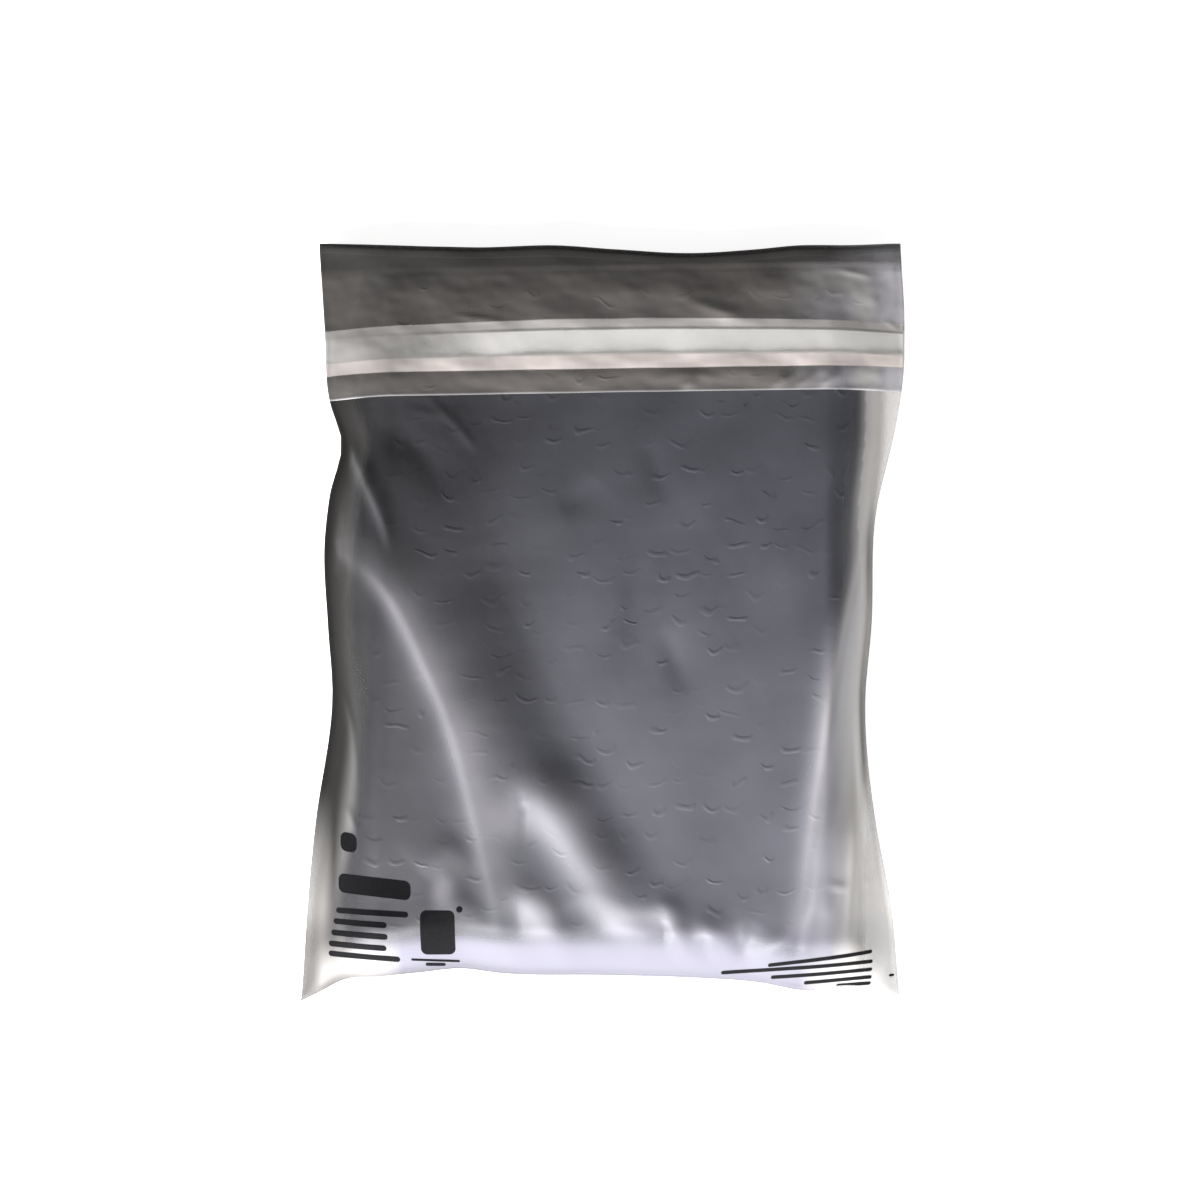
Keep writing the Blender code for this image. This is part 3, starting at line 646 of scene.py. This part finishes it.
# How much of it hides what lies under it.
VEIL_TOUCHING, VEIL_SHADE_PATCH, VEIL_APART, VEIL_FREE, VEIL_SHADED = 0.5, 0.2, 0.66, 0.3, 0.98
VEIL_DOUBLED, VEIL_TOP_SHADE, VEIL_LINED, VEIL_WETTED, VEIL_RIM = 0.45, 0.8, 0.15, 0.1, 0.985
# The right ear's veil is thinner so more of the glowing floor shows: painted light where the bag's
# shadow falls.
VEIL_BOTTOM, VEIL_LEFT_EAR, VEIL_RIGHT_EAR, VEIL_LINER_LIGHT = 0.8, 0.42, 0.27, 0.7
# Shares of the painted shade on the left side, on the front and on the flap, and of the painted
# highlights on the crest and on the flap's cut edge.
LEFT_SHADE_SHARE, FLAP_LEFT_SHADE_SHARE, CREST_SHARE, LIP_SHARE = 0.55, 0.6, 0.65, 0.3
BOTTOM_FROM, BOTTOM_TO = -120 * MM, -138 * MM  # the bright band along the bottom fold
INNER_SIDE, INNER_SOFT = 0.78, 0.12  # the band's half width, as a share. Past it lie the ears
VEIL_FROM, VEIL_REACH = 1.5 * MM, 8.0 * MM  # it turns milky between these distances
WETTED_FROM, WETTED_TO = 0.28, 0.83  # the adhesive's band, as shares of the liner's width
BUBBLE_PITCH = 11.0 * MM
BUBBLE_RADIUS = 4.4 * MM
ARC_HALF_WIDTH, ARC_SOFT, ARC_RISE = 0.35 * MM, 0.8 * MM, 0.4 * MM
ARC_SWIRL, SWIRL_SIZE = 11.0 * MM, 14 * MM  # how far the arcs are pushed out of their rows
CLOUD_SIZE = 35 * MM  # patches in which the film is a little more or less milky
CRINKLE_SIZE, CRINKLE_RISE = 5 * MM, 0.3 * MM
LIP_WIDTH = 0.5 * MM  # of the painted highlight along the flap's cut edge
ABOVE_ALL = 1.0  # higher than anything on the flap


def mapped(tree, value, start, end, low=0.0, high=1.0, how="LINEAR"):
    """Low where the value is start, high where it is end, evenly between and level outside."""
    return add(tree, "MapRange", {"interpolation_type": how}, Value=value, From_Min=start,
               From_Max=end, To_Min=low, To_Max=high).outputs["Result"]


def between(tree, value, low, high, soft):
    """1 where value lies between low and high, with edges as soft as given."""
    return times(tree, mapped(tree, value, low - soft, low + soft),
                 mapped(tree, value, high + soft, high - soft))


def times(tree, *factors):
    """The product of outputs and numbers."""
    product = factors[0]
    for factor in factors[1:]:
        product = add(tree, "Math", {"operation": "MULTIPLY"}, _0=product, _1=factor).outputs[0]
    return product


def layered(tree, kind, base, *layers):
    """The base with each layer's value laid over what is there, as far as its mask says. The kind
    is RGBA, for hex codes or outputs, or FLOAT."""
    first, second, result = (6, 7, 2) if kind == "RGBA" else (2, 3, 0)
    for mask, value in layers:
        ends = [linear(end) if isinstance(end, str) else end for end in (base, value)]
        sockets = {"_0": mask, f"_{first}": ends[0], f"_{second}": ends[1]}
        base = add(tree, "Mix", {"data_type": kind}, **sockets).outputs[result]
    return base


def bubble_arcs(tree, place):
    """The lower rims of the bubbles under the film, as short ridges: a ring of the bubble's radius
    round each cell's centre, kept where it lies below the centre, and stronger in some cells."""
    swirl = add(tree, "TexNoise", Vector=place, Scale=1 / SWIRL_SIZE, Detail=1.0)
    pushed = add(tree, "VectorMath", {"operation": "MULTIPLY_ADD"}, _0=swirl.outputs["Color"],
                 _1=(ARC_SWIRL, ARC_SWIRL, 0.0), _2=place).outputs[0]
    flat = add(tree, "VectorMath", {"operation": "MULTIPLY"}, _0=pushed,
               _1=(1.0, 1.0, 0.0)).outputs[0]
    cells = add(tree, "TexVoronoi", {"voronoi_dimensions": "2D"}, Vector=flat,
                Scale=1 / BUBBLE_PITCH, Randomness=0.7)
    away = add(tree, "VectorMath", {"operation": "SUBTRACT"}, _0=flat,
               _1=cells.outputs["Position"]).outputs[0]
    apart = add(tree, "VectorMath", {"operation": "LENGTH"}, _0=away).outputs["Value"]
    ring = between(tree, apart, BUBBLE_RADIUS - ARC_HALF_WIDTH, BUBBLE_RADIUS + ARC_HALF_WIDTH,
                   ARC_SOFT)
    height = add(tree, "SeparateXYZ", Vector=away).outputs["Y"]
    rise = add(tree, "Math", {"operation": "DIVIDE"}, _0=height, _1=apart).outputs[0]
    below = mapped(tree, rise, -0.45, -0.95, how="SMOOTHSTEP")
    draw = add(tree, "SeparateColor", Color=cells.outputs["Color"]).outputs["Red"]
    return times(tree, ring, below, mapped(tree, draw, 0.2, 1.1))


def frosted_film(names):
    """The film's material, from the marks of film_rows. Tints and veils are laid over each other
    once for the front and once for the flap."""
    material, tree = new_material("frosted_blown_film")
    place = add(tree, "TexCoord").outputs["Object"]
    marks = {name: add(tree, "Attribute", {"attribute_name": name}).outputs["Fac"]
             for name in names}
    painted_shade, bare, rim, over = (marks[name] for name in ("painted_shade", "bare", "rim", "over"))
    cloud = add(tree, "TexNoise", Vector=place, Scale=1 / CLOUD_SIZE, Detail=3.0, Roughness=0.5)
    patchy = mapped(tree, cloud.outputs["Fac"], 0.3, 0.7, 0.88, 1.12)
    apart = mapped(tree, marks["lift"], VEIL_FROM, VEIL_REACH, how="SMOOTHSTEP")
    # Painted highlight along the crest of the long right-hand fold.
    crest = times(tree, marks["crest"], CREST_SHARE)

    # The flap, its cut lip with a painted highlight, the strip above the mouth with painted shade
    # that is lighter towards the right end, and the liner's margins, painted lighter, and wetted
    # band
    doubled = between(tree, marks["down"], -0.5 * MM, ABOVE_ALL, 0.1 * MM)
    # Painted highlight along the flap's cut edge.
    lip = between(tree, marks["down"], -0.2 * MM, LIP_WIDTH, 0.3 * MM)
    # Painted shade over the strip above the mouth, lighter towards the right end.
    shade_right_fade = mapped(tree, marks["side"], 1.0, 0.75, low=0.75)
    top_shade = times(tree, between(tree, marks["past"], 0.0, ABOVE_ALL, 2.5 * MM), shade_right_fade)
    # Over the liner the film takes a paler tint, painted light that brightens the strip, and over
    # the liner's margins a pale, denser tint, painted light over the shade that the flap's film and
    # the adhesive cast there.
    lined = between(tree, over, 0.0, 1.0, 0.01)
    wetted = between(tree, over, WETTED_FROM, WETTED_TO, 0.03)
    margin = between(tree, over, 0.0, WETTED_FROM, 0.01)
    upper = between(tree, over, WETTED_TO, 1.0, 0.02)

    # The band along the bottom fold, and the ears beside it
    height = add(tree, "SeparateXYZ", Vector=place).outputs["Y"]
    low = mapped(tree, height, BOTTOM_FROM, BOTTOM_TO, how="SMOOTHSTEP")
    inner = between(tree, marks["side"], -INNER_SIDE, INNER_SIDE, INNER_SOFT)
    ears = layered(tree, "FLOAT", low, (inner, 0.0))
    bottom = times(tree, low, inner)
    right = mapped(tree, marks["side"], -0.2, 0.2)

    # Tints: painted shade over the left margin, the top and the left side, painted highlights on
    # the crest and the flap's cut edge, and painted light over the liner.
    apart_tint = layered(tree, "RGBA", FILM_APART, (bottom, FILM_LOW))
    free_tint = layered(tree, "RGBA", FILM_FREE, (bottom, FILM_BOTTOM), (ears, FILM_EARS))
    rim_tint = layered(tree, "RGBA", RIM_INSIDE, (apart, RIM_APART), (bare, RIM_OUTSIDE),
                       (bottom, FILM_BOTTOM), (ears, FILM_EARS))
    front = layered(tree, "RGBA", FILM_TOUCHING, (apart, apart_tint), (bare, free_tint),
                    (times(tree, marks["left_shade"], LEFT_SHADE_SHARE), FILM_LEFT_SHADE), (rim, rim_tint),
                    (crest, CREST_HIGHLIGHT), (painted_shade, FILM_SHADED))
    flap_rim = layered(tree, "RGBA", FLAP_RIM, (painted_shade, RIM_SHADED))
    flap = layered(tree, "RGBA", FILM_APART, (painted_shade, FLAP_SHADED), (rim, flap_rim),
                   (top_shade, FILM_TOP_SHADE), (lined, FILM_LINED_LIGHT), (margin, LINER_MARGIN_LIGHT),
                   (upper, LINER_UPPER_LIGHT), (times(tree, marks["left_shade"], FLAP_LEFT_SHADE_SHARE), FILM_LEFT_SHADE),
                   (times(tree, lip, LIP_SHARE), LIP_HIGHLIGHT))
    tint = layered(tree, "RGBA", front, (doubled, flap))

    # The patches of painted shade thin the pressed film's veil, so the dark goods show through
    # darker.
    pressed = layered(tree, "FLOAT", VEIL_TOUCHING, (marks["shade_patch"], VEIL_SHADE_PATCH),
                      (apart, VEIL_APART))
    ear_veil = layered(tree, "FLOAT", VEIL_LEFT_EAR, (right, VEIL_RIGHT_EAR))
    free_veil = layered(tree, "FLOAT", VEIL_FREE, (bottom, VEIL_BOTTOM), (ears, ear_veil))
    front = layered(tree, "FLOAT", times(tree, pressed, patchy), (bare, free_veil),
                    (rim, VEIL_RIM), (crest, VEIL_BOTTOM),
                    (times(tree, bare, painted_shade), VEIL_SHADED))
    flap = layered(tree, "FLOAT", times(tree, patchy, VEIL_DOUBLED), (rim, VEIL_RIM),
                   (top_shade, VEIL_TOP_SHADE), (lined, VEIL_LINED), (margin, VEIL_LINER_LIGHT),
                   (upper, VEIL_LINER_LIGHT), (wetted, VEIL_WETTED),
                   (times(tree, marks["left_shade"], lined, FLAP_LEFT_SHADE_SHARE), VEIL_SHADED))
    veil = layered(tree, "FLOAT", front, (doubled, flap))

    # Crinkles, and the arcs where the film lies on the goods
    crinkle = add(tree, "TexNoise", Vector=place, Scale=1 / CRINKLE_SIZE, Detail=4.0,
                  Roughness=0.55)
    relief = add(tree, "Bump", Strength=0.12, Distance=CRINKLE_RISE, Height=crinkle.outputs["Fac"])
    arcs = layered(tree, "FLOAT", bubble_arcs(tree, place), (lined, 0.0), (apart, 0.0),
                   (bare, 0.0), (bottom, 0.0))
    relief = add(tree, "Bump", Strength=1.0, Distance=ARC_RISE, Height=arcs,
                 Normal=relief.outputs["Normal"])
    matt = mapped(tree, times(tree, bare, painted_shade), 0.0, 1.0, 0.5, 1.0)
    finish(tree, Base_Color=tint, Roughness=matt, IOR=1.48, Specular_IOR_Level=0.35, Alpha=veil,
           Normal=relief.outputs["Normal"])
    return material


web_x, web_y, web_z, web_marks = film_rows()
film = new_piece("film", np.stack([web_x, web_y, web_z], -1).reshape(-1, 3),
                 grid_faces(*web_x.shape), frosted_film(web_marks), web_marks)
wall = film.modifiers.new("wall", "SOLIDIFY")
wall.thickness = FILM_GAUGE
wall.offset = 1.0
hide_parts("film_bag")


# Wrapped goods: something soft and near black, folded and rolled in clear bubble wrap of the
# small-bubble grade. It fills the bag, and its bubbles press against the film.

GOODS_COLUMNS, GOODS_ROWS = 150, 190
GOODS_CROWDING, GOODS_ROW_CROWDING = 0.4, 0.3
BUBBLE_RISE = 0.25 * MM
BUBBLE_SLOPE = 0.45  # a bubble's side, as a share of half the pitch


def bubbles(x, y):
    """Rows of round bubbles, every second row set over by half a pitch: a flat dome on each
    lattice point, level past its own radius."""
    row_pitch = BUBBLE_PITCH * np.sqrt(0.75)
    row = np.round(y / row_pitch)
    shift = np.where(np.mod(row, 2) == 0, 0.0, 0.5)
    column = np.round(x / BUBBLE_PITCH - shift) + shift
    away = np.hypot(x - column * BUBBLE_PITCH, y - row * row_pitch) / (0.5 * BUBBLE_PITCH)
    return ease((1 - away) / BUBBLE_SLOPE)


def goods_face(top):
    """One face of the goods: s runs across from rim to rim and t along, both closer together at
    the rims."""
    s = crowded(GOODS_COLUMNS, GOODS_CROWDING)[None, :]
    t = (1 + crowded(GOODS_ROWS, GOODS_ROW_CROWDING)[:, None]) / 2
    low, high = goods_ends(s)
    y = low + t * (high - low)
    left, right = goods_sides(y)
    x = (left + right) / 2 + s * (right - left) / 2
    upper, lower = goods_faces_at(x, y)
    bump = BUBBLE_RISE * (bubbles(x, y) - 1) * goods_fullness(x, y) ** 2
    return np.stack([x, y, upper + bump if top else lower - bump], -1)


def dark_wrap():
    """Black knit seen through clear polyethylene: near black, with a dull plastic sheen."""
    material, tree = new_material("clear_bubble_wrap_over_black_cloth")
    place = add(tree, "TexCoord").outputs["Object"]
    soft = add(tree, "TexNoise", Vector=place, Scale=1 / (60 * MM), Detail=2.0)
    shade = layered(tree, "RGBA", "#1D1D20", (soft.outputs["Fac"], "#2E2E33"))
    finish(tree, Base_Color=shade, Roughness=0.55)
    return material


upper, lower = goods_face(True), goods_face(False)
count = upper.shape[0] * upper.shape[1]
faces = grid_faces(*upper.shape[:2])
points = np.concatenate([upper.reshape(-1, 3), lower.reshape(-1, 3)])
goods = new_piece("wrapped_goods_visual", points, np.concatenate([faces[:, ::-1], faces + count]),
                  dark_wrap())
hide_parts("wrapped_goods")


# Release liner: a strip of white siliconised film on the adhesive, cut with the bag, so that it
# runs from weld to weld.

LINER_ROWS = 16
ADHESIVE_ROWS = 10
RIB_PITCH = 2.7 * MM
LINER_GAUGE = 0.12 * MM


def strip_rows(low, high, lift, rows):
    """A strip under the flap: its rows run between two shares of the liner's width. Returns its
    points and the share at each."""
    s = crowded(COLUMNS, COLUMN_CROWDING)[None, :]
    over = np.linspace(high, low, rows + 1)[:, None] + 0 * s
    y = flap_edge(s) + LINER_TO_EDGE + over * liner_width(s)
    x = beside(s, y)
    return np.stack([x, y, film_front(x, y) + FILM_GAUGE + lift], -1), over


def new_strip(name, strip, thick, material):
    points, over = strip
    piece = new_piece(name, points.reshape(-1, 3), grid_faces(*points.shape[:2])[:, ::-1], material,
                      {"over": over})
    body = piece.modifiers.new("body", "SOLIDIFY")
    body.thickness = thick
    body.offset = 1.0
    return piece


def liner_film():
    """White siliconised film: flat and bright on the adhesive, ribbed by the sealing bar below it
    and greyer above."""
    material, tree = new_material("siliconised_liner_film")
    place = add(tree, "TexCoord").outputs["Object"]
    over = add(tree, "Attribute", {"attribute_name": "over"}).outputs["Fac"]
    lower = between(tree, over, -1.0, WETTED_FROM, 0.02)
    upper = between(tree, over, WETTED_TO, 2.0, 0.02)
    along = add(tree, "SeparateXYZ", Vector=place).outputs["X"]
    rib = add(tree, "Math", {"operation": "SINE"},
              _0=times(tree, along, 2 * np.pi / RIB_PITCH)).outputs[0]
    shade = layered(tree, "RGBA", "#EFEDEA", (lower, "#DDD3D1"), (upper, "#C2BFBB"))
    relief = add(tree, "Bump", Strength=0.5, Distance=0.25 * MM, Height=times(tree, rib, lower))
    finish(tree, Base_Color=shade, Roughness=0.5, Normal=relief.outputs["Normal"])
    return material


liner = new_strip("liner", strip_rows(0.0, 1.0, SHEET_GAP, LINER_ROWS), LINER_GAUGE, liner_film())
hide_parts("release_liner")


# Adhesive strip: a band of pressure-sensitive hot melt, milky and soft, coated on the inside of
# the flap when the bag was made. It runs from weld to weld between the flap and its liner.

GLUE_GAUGE = 0.06 * MM
GLUE_LIFT = 2 * SHEET_GAP + 0.3 * MM


def hot_melt():
    """Nearly white and faintly grained, which clears the film that it wets."""
    material, tree = new_material("milky_hot_melt")
    place = add(tree, "TexCoord").outputs["Object"]
    grain = add(tree, "TexNoise", Vector=place, Scale=1 / (3 * MM), Detail=3.0)
    shade = layered(tree, "RGBA", "#EEECE8", (grain.outputs["Fac"], "#F8F7F5"))
    relief = add(tree, "Bump", Strength=0.1, Distance=0.1 * MM, Height=grain.outputs["Fac"])
    finish(tree, Base_Color=shade, Roughness=0.35, Normal=relief.outputs["Normal"])
    return material


glue = new_strip("adhesive_band", strip_rows(WETTED_FROM, WETTED_TO, GLUE_LIFT, ADHESIVE_ROWS),
                 GLUE_GAUGE, hot_melt())
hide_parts("adhesive_strip")


# Print: matt black flexographic ink on the front film at its bottom corners. It is kept to plain
# bars, one rounded square and a dot.

INK_LIFT = 0.06 * MM
INK_STEP = 0.8 * MM
SLOPE_STEP = 0.05 * MM
# Bars as (left, left end's height on the bag, right, right end's height, thickness), in mm.
BARS = [(-110.9, -94.5, -103.7, -95.8, 8.0), (-111.8, -112.0, -81.0, -115.5, 8.0),
        (-113.0, -123.6, -82.0, -125.4, 2.4), (-114.2, -128.2, -91.0, -129.8, 2.4),
        (-115.2, -133.0, -90.7, -134.6, 2.4), (-116.4, -137.6, -91.4, -139.4, 2.4),
        (-116.6, -141.8, -86.0, -144.2, 2.4), (-81.4, -144.2, -61.0, -145.0, 1.0),
        (-75.5, -146.3, -67.1, -146.4, 1.4), (-77.0, -132.8, -62.6, -132.8, 18.5),
        (-61.9, -123.1, -59.3, -123.1, 2.6),
        (68.4, -146.5, 112.8, -141.0, 1.6), (49.0, -149.9, 113.2, -145.2, 1.6),
        (70.0, -151.8, 113.2, -148.6, 1.6), (84.0, -154.2, 113.2, -151.9, 1.6),
        (98.0, -155.6, 113.0, -154.6, 1.6), (120.8, -151.6, 123.2, -151.4, 1.1)]
BAR_ROUNDING = 2.6  # mm, or half the thickness of a thinner bar


def on_film(x, y):
    """Points INK_LIFT over the front film's outer face, each moved along the film's normal."""
    z = film_front(x, y)
    rise_x = film_front(x + SLOPE_STEP, y) - film_front(x - SLOPE_STEP, y)
    rise_y = film_front(x, y + SLOPE_STEP) - film_front(x, y - SLOPE_STEP)
    slope_x, slope_y = rise_x / (2 * SLOPE_STEP), rise_y / (2 * SLOPE_STEP)
    away = (FILM_GAUGE + INK_LIFT) / np.sqrt(1 + slope_x ** 2 + slope_y ** 2)
    return np.stack([x - slope_x * away, y - slope_y * away, z + away], -1)


def bar_patch(left, left_y, right, right_y, thick):
    """A bar with rounded corners: rows of points INK_STEP apart, each row shortened where it
    crosses the corners' circles."""
    columns = int(np.ceil((right - left) * MM / INK_STEP)) + 2
    rows = int(np.ceil(thick * MM / INK_STEP)) + 4
    v = np.sin(np.linspace(np.pi / 2, -np.pi / 2, rows))[:, None] * thick / 2
    radius = min(BAR_ROUNDING, thick / 2)
    into = np.clip(np.abs(v) - (thick / 2 - radius), 0, radius)
    short = radius - np.sqrt(radius ** 2 - into ** 2)
    along = np.linspace(0, 1, columns)[None, :] * (right - left - 2 * short) + short
    x = left + along
    y = left_y + along / (right - left) * (right_y - left_y) + v
    return on_film(x * MM, y * MM)


def black_ink():
    """Matt black ink, a little thin where the film is rough."""
    material, tree = new_material("matt_black_flexo_ink")
    place = add(tree, "TexCoord").outputs["Object"]
    grain = add(tree, "TexNoise", Vector=place, Scale=1 / (1.5 * MM), Detail=2.0)
    shade = layered(tree, "RGBA", "#08080A", (grain.outputs["Fac"], "#121215"))
    finish(tree, Base_Color=shade, Roughness=0.7, Specular_IOR_Level=0.05)
    return material


ink_points, ink_faces, ink_count = [], [], 0
for bar in BARS:
    patch = bar_patch(*bar)
    ink_points.append(patch.reshape(-1, 3))
    ink_faces.append(grid_faces(*patch.shape[:2]) + ink_count)
    ink_count += patch.shape[0] * patch.shape[1]
ink = new_piece("print", np.concatenate(ink_points), np.concatenate(ink_faces), black_ink())


# Studio: a white floor that shines a little, as an opal table lit from below does, a large soft
# key from low at the bottom left, and an even white sky. The camera looks down on the bag.

PHOTO_SIDE = 1200
MM_PER_PIXEL = 0.4263
CENTRE_PIXEL = (604.7, 618.5)  # the photo's pixel over the origin
CAMERA_DISTANCE = 1.5
PICTURE_PLANE = 12.0 * MM
CAMERA_TILT = 4.0  # degrees, towards the bottom fold
FLOOR_HALF = 2.0
FLOOR_GLOW, SKY_GLOW = 0.8, 0.22
KEY_PLACE, KEY_SIZE, KEY_WATTS = (-0.93, -1.96, 1.03), 1.4, 225.0
SENSOR_MM = 36.0


def pale_floor():
    """White board, matt, which stays near white in the bag's shadow."""
    material, tree = new_material("matt_white_board")
    finish(tree, Base_Color=linear("#F4F4F3"), Roughness=0.9, Emission_Color=linear("#FFFFFF"),
           Emission_Strength=FLOOR_GLOW)
    return material


corners = FLOOR_HALF * np.array([[-1, -1, 0], [1, -1, 0], [1, 1, 0], [-1, 1, 0]])
floor_mesh = bpy.data.meshes.new("floor")
floor_mesh.from_pydata(corners.tolist(), [], [(0, 1, 2, 3)])
floor_mesh.materials.append(pale_floor())
floor = bpy.data.objects.new("floor", floor_mesh)
bpy.context.scene.collection.objects.link(floor)

world = bpy.data.worlds.new("studio")
bpy.context.scene.world = world
world.use_nodes = True
sky = world.node_tree.nodes["Background"]
sky.inputs["Color"].default_value = linear("#FFFFFF")
sky.inputs["Strength"].default_value = SKY_GLOW


def aim(obj, place, target):
    """Places a camera or lamp and turns its -Z to the target."""
    obj.location = place
    obj.rotation_euler = (Vector(place) - Vector(target)).to_track_quat("Z", "Y").to_euler()


key = bpy.data.lights.new("key", "AREA")
key.shape = "DISK"
key.size = KEY_SIZE
key.energy = KEY_WATTS
key_lamp = bpy.data.objects.new("key", key)
bpy.context.scene.collection.objects.link(key_lamp)
aim(key_lamp, KEY_PLACE, (0, 0, 0))

lens = bpy.data.cameras.new("camera")
lens.sensor_width = SENSOR_MM
lens.lens = SENSOR_MM * CAMERA_DISTANCE / (PHOTO_SIDE * MM_PER_PIXEL * MM)
camera = bpy.data.objects.new("camera", lens)
bpy.context.scene.collection.objects.link(camera)
centre = ((PHOTO_SIDE / 2 - CENTRE_PIXEL[0]) * MM_PER_PIXEL * MM,
          (CENTRE_PIXEL[1] - PHOTO_SIDE / 2) * MM_PER_PIXEL * MM, PICTURE_PLANE)
tilt = np.radians(CAMERA_TILT)
aim(camera, (centre[0], centre[1] - CAMERA_DISTANCE * np.sin(tilt),
             centre[2] + CAMERA_DISTANCE * np.cos(tilt)), centre)
bpy.context.scene.camera = camera
bpy.context.scene.view_settings.view_transform = "Standard"
